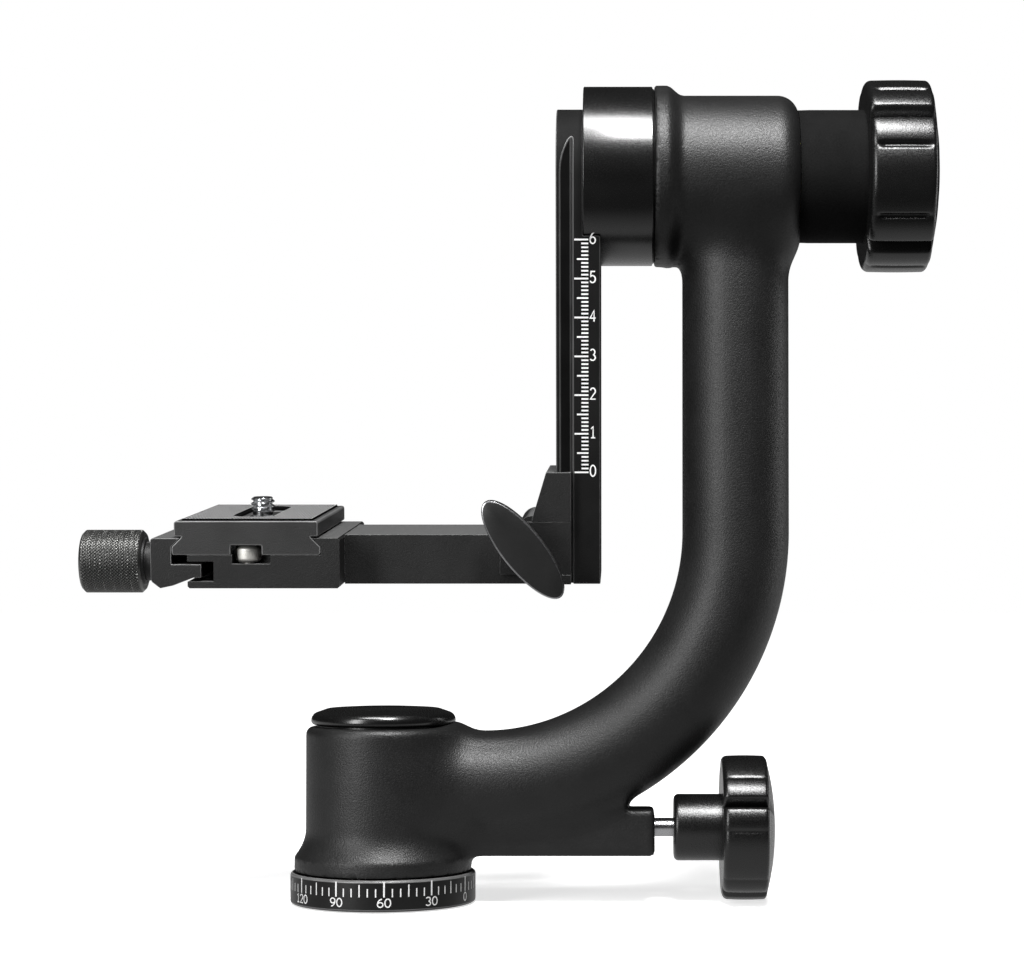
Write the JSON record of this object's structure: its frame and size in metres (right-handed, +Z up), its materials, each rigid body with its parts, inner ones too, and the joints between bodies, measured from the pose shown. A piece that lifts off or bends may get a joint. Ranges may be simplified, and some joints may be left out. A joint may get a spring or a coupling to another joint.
{
  "type": "gimbal tripod head",
  "caption": "Side-mount gimbal head: panning base, curved cast arm, tilting cradle plate with quick-release clamp, lobed lock knobs and a knurled clamp knob.",
  "frame": {"origin": "on the pan axis at the underside of the base ring, where the tripod thread opens", "axes": "+Z up along the pan axis, +X from the base towards the upright arm along the tilt axis, +Y away from the scale side"},
  "size_m": [0.2267, 0.0659, 0.2156],
  "materials": {
    "cast_black": "satin black powder coat, fine grain",
    "ring_black": "satin black with white engraved scale",
    "drum_black": "smooth semi-gloss black",
    "anodised": "matte black anodised with bright machined edges",
    "knob_black": "semi-gloss moulded plastic",
    "collar_matte": "very matte black",
    "steel": "turned steel",
    "chrome": "bright plated",
    "knurl_grey": "diamond knurled, dark grey anodised",
    "rubber_pad": "ribbed black rubber",
    "bronze": "plain turned"
  },
  "bodies": {
    "base": {"pan_base": "ring_black", "tripod_bush": "steel", "pan_spindle": "steel", "base_screws": "steel", "pan_inner_races": "steel", "pan_spacer": "bronze", "spindle_washer": "steel", "spindle_screw": "steel"},
    "arm": {"gimbal_arm": "cast_black", "pan_cap": "drum_black", "pan_outer_races": "steel", "pan_balls": "steel", "tilt_outer_races": "steel", "tilt_balls": "steel", "friction_washer": "bronze"},
    "pan_shoe": {"brake_shoe": "bronze"},
    "pan_lock": {"lock_screw": "steel", "lock_hub": "knob_black", "lock_knob": "knob_black"},
    "swing": {"tilt_drum": "drum_black", "tilt_shaft": "steel", "swing_plate": "anodised", "plate_screws": "steel", "tilt_inner_races": "steel", "tilt_spacer": "steel"},
    "tilt_ring": {"tilt_collar": "collar_matte"},
    "tilt_lock": {"tilt_knob": "knob_black", "tilt_knob_insert": "steel"},
    "cradle": {"cradle_bracket": "anodised", "clamp_body": "anodised", "clamp_screws": "steel", "jaw_spring": "steel", "pin_spring": "steel"},
    "rail_jaw": {"cradle_jaw": "anodised"},
    "rail_lever": {"lever_screw": "steel", "oval_lever": "anodised"},
    "clamp_jaw": {"moving_jaw": "anodised"},
    "clamp_knob": {"jaw_screw": "steel", "knurled_knob": "knurl_grey"},
    "pin": {"safety_pin": "steel"},
    "plate": {"qr_plate": "anodised", "qr_pad": "rubber_pad"},
    "screw_slider": {"screw_clip": "steel"},
    "stud": {"camera_screw": "chrome"}
  },
  "joints": [
    {"name": "pan", "type": "hinge", "parent": "base", "child": "arm", "pos_m": [0, 0, 0], "axis": [0, 0, 1], "continuous": true},
    {"name": "tilt", "type": "hinge", "parent": "arm", "child": "swing", "pos_m": [0.09, 0, 0.1906], "axis": [1, 0, 0], "continuous": true},
    {"name": "pan_lock_turn", "type": "hinge", "parent": "pan_shoe", "child": "pan_lock", "pos_m": [0.09, 0, 0.0193], "axis": [1, 0, 0], "range_deg": [0, 540]},
    {"name": "pan_shoe_slide", "type": "slide", "parent": "arm", "child": "pan_shoe", "axis": [1, 0, 0], "range_m": [0, 0.0012]},
    {"name": "tilt_lock_turn", "type": "hinge", "parent": "tilt_ring", "child": "tilt_lock", "pos_m": [0.13, 0, 0.1906], "axis": [1, 0, 0], "range_deg": [0, 360]},
    {"name": "tilt_ring_slide", "type": "slide", "parent": "swing", "child": "tilt_ring", "axis": [1, 0, 0], "range_m": [0, 0.0015]},
    {"name": "cradle_slide", "type": "slide", "parent": "swing", "child": "cradle", "axis": [0, -0.1045, 0.9945], "range_m": [0, 0.06]},
    {"name": "rail_lever_turn", "type": "hinge", "parent": "rail_jaw", "child": "rail_lever", "pos_m": [0.0372, -0.01378, 0.09212], "axis": [0, -0.9945, -0.1045], "range_deg": [0, 540]},
    {"name": "rail_jaw_slide", "type": "slide", "parent": "cradle", "child": "rail_jaw", "axis": [0, -0.9945, -0.1045], "range_m": [0, 0.00105]},
    {"name": "clamp_knob_turn", "type": "hinge", "parent": "clamp_jaw", "child": "clamp_knob", "pos_m": [-0.07, 0.01065, 0.08926], "axis": [-1, 0, 0], "range_deg": [0, 1080]},
    {"name": "clamp_jaw_slide", "type": "slide", "parent": "cradle", "child": "clamp_jaw", "axis": [-1, 0, 0], "range_m": [0, 0.0021], "deforming": ["jaw_spring"]},
    {"name": "pin_press", "type": "slide", "parent": "cradle", "child": "pin", "axis": [0, 0.1045, -0.9945], "range_m": [0, 0.0021], "stiffness_N_per_m": 600, "springref_m": -0.001, "deforming": ["pin_spring"]},
    {"name": "plate_slide", "type": "slide", "parent": "cradle", "child": "plate", "axis": [0, 0.9945, 0.1045], "range_m": [0, 0.06]},
    {"name": "stud_slide", "type": "slide", "parent": "plate", "child": "screw_slider", "axis": [0, 0.9945, 0.1045], "range_m": [-0.01397, 0.01397]},
    {"name": "stud_turn", "type": "hinge", "parent": "screw_slider", "child": "stud", "pos_m": [-0.0333, 0.00925, 0.10258], "axis": [0, -0.1045, 0.9945], "continuous": true}
  ],
  "couplings": [
    {"joint": "pan_lock_turn", "follows": "pan_shoe_slide", "rad_per_m": 7854},
    {"joint": "tilt_lock_turn", "follows": "tilt_ring_slide", "rad_per_m": 4188.8},
    {"joint": "rail_lever_turn", "follows": "rail_jaw_slide", "rad_per_m": 8976},
    {"joint": "clamp_knob_turn", "follows": "clamp_jaw_slide", "rad_per_m": 8976}
  ]
}
